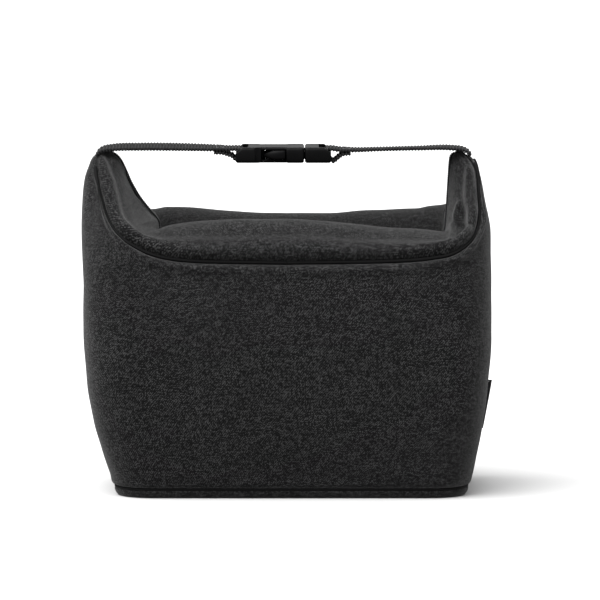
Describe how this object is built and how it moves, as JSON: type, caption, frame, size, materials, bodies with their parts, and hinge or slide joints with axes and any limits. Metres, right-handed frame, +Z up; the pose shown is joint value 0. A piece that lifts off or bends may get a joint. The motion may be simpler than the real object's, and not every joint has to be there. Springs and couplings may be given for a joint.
{
  "type": "insulated cooler bag",
  "caption": "Soft insulated lunch cooler bag whose two ends are drawn up and joined by a webbing strap with a side-release buckle.",
  "frame": {"origin": "centre of the base, on the surface the bag stands on", "axes": "+X to the right along the strap, +Y to the back, +Z up"},
  "size_m": [0.2712, 0.15, 0.2306],
  "materials": {
    "shell_cloth": "matte",
    "foam": "matte",
    "liner_film": "satin",
    "board": "matte",
    "webbing": "matte",
    "thread": "matte",
    "buckle_plastic": "satin",
    "zip_tape": "matte",
    "zip_plastic": "satin",
    "zip_metal": "satin",
    "tag_cloth": "matte"
  },
  "bodies": {
    "root": {"front_panel": "shell_cloth", "back_panel": "shell_cloth", "base_panel": "shell_cloth", "base_board": "board", "base_foam": "foam", "front_foam": "foam", "back_foam": "foam", "left_foam": "foam", "right_foam": "foam", "liner": "liner_film", "top_end_panels": "shell_cloth", "top_end_foam": "foam", "zip_end_tapes": "zip_tape", "zip_end_chain_left": "zip_plastic", "zip_end_chain_right": "zip_plastic", "zip_top_stops": "zip_metal", "zip_bottom_stop": "zip_metal", "side_tag_left": "tag_cloth", "side_tag_right": "tag_cloth"},
    "ear_left": {"ear_left": "shell_cloth", "zip_riser_left": "zip_tape"},
    "ear_right": {"ear_right": "shell_cloth", "zip_riser_right": "zip_tape"},
    "strap_left": {"strap_left": "webbing", "strap_left_tacks": "thread", "buckle_socket": "buckle_plastic"},
    "strap_right": {"strap_right": "webbing", "strap_right_tacks": "thread", "buckle_plug": "buckle_plastic"},
    "latch_front": {"latch_arm_front": "buckle_plastic"},
    "latch_back": {"latch_arm_back": "buckle_plastic"},
    "slider": {"zip_slider": "zip_metal"},
    "pull": {"zip_pull": "zip_metal"},
    "front_flap": {"front_top_panel": "shell_cloth", "front_top_foam": "foam", "front_top_liner": "liner_film", "zip_tape_front": "zip_tape", "zip_teeth_front": "zip_plastic"},
    "back_flap": {"back_top_panel": "shell_cloth", "back_top_foam": "foam", "back_top_liner": "liner_film", "zip_tape_back": "zip_tape", "zip_teeth_back": "zip_plastic"}
  },
  "joints": [
    {"name": "ear_left_spread", "type": "hinge", "parent": "root", "child": "ear_left", "pos_m": [-0.134, 0, 0.159], "axis": [0, -1, 0], "range_deg": [0, 25], "deforming": ["latch_arm_front", "latch_arm_back"]},
    {"name": "ear_right_spread", "type": "hinge", "parent": "root", "child": "ear_right", "pos_m": [0.134, 0, 0.159], "axis": [0, 1, 0], "range_deg": [0, 25]},
    {"name": "strap_left_level", "type": "hinge", "parent": "ear_left", "child": "strap_left", "pos_m": [-0.118, 0, 0.2208], "axis": [0, 1, 0], "range_deg": [0, 25]},
    {"name": "strap_right_level", "type": "hinge", "parent": "ear_right", "child": "strap_right", "pos_m": [0.118, 0, 0.2208], "axis": [0, -1, 0], "range_deg": [0, 25]},
    {"name": "latch_front_squeeze", "type": "hinge", "parent": "strap_right", "child": "latch_front", "pos_m": [0.0156, -0.0095, 0.22545], "axis": [0, 0, -1], "range_deg": [0, 6], "stiffness_Nm_per_rad": 0.5},
    {"name": "latch_back_squeeze", "type": "hinge", "parent": "strap_right", "child": "latch_back", "pos_m": [0.0156, 0.0095, 0.22545], "axis": [0, 0, 1], "range_deg": [0, 6], "stiffness_Nm_per_rad": 0.5},
    {"name": "slider_travel", "type": "slide", "parent": "root", "child": "slider", "axis": [-1, 0, 0], "range_m": [0, 0.1554], "deforming": ["zip_teeth_front", "zip_teeth_back"]},
    {"name": "pull_flip", "type": "hinge", "parent": "slider", "child": "pull", "pos_m": [0.0777, 0, 0.16555], "axis": [0, -1, 0], "range_deg": [0, 170]},
    {"name": "front_flap_open", "type": "hinge", "parent": "root", "child": "front_flap", "pos_m": [0, -0.071, 0.159], "axis": [1, 0, 0], "range_deg": [0, 60]},
    {"name": "back_flap_open", "type": "hinge", "parent": "root", "child": "back_flap", "pos_m": [0, 0.071, 0.159], "axis": [-1, 0, 0], "range_deg": [0, 60]}
  ],
  "couplings": [
    {"joint": "ear_right_spread", "follows": "ear_left_spread", "ratio": 1},
    {"joint": "strap_left_level", "follows": "ear_left_spread", "ratio": 1},
    {"joint": "strap_right_level", "follows": "ear_left_spread", "ratio": 1},
    {"joint": "latch_back_squeeze", "follows": "latch_front_squeeze", "ratio": 1}
  ]
}
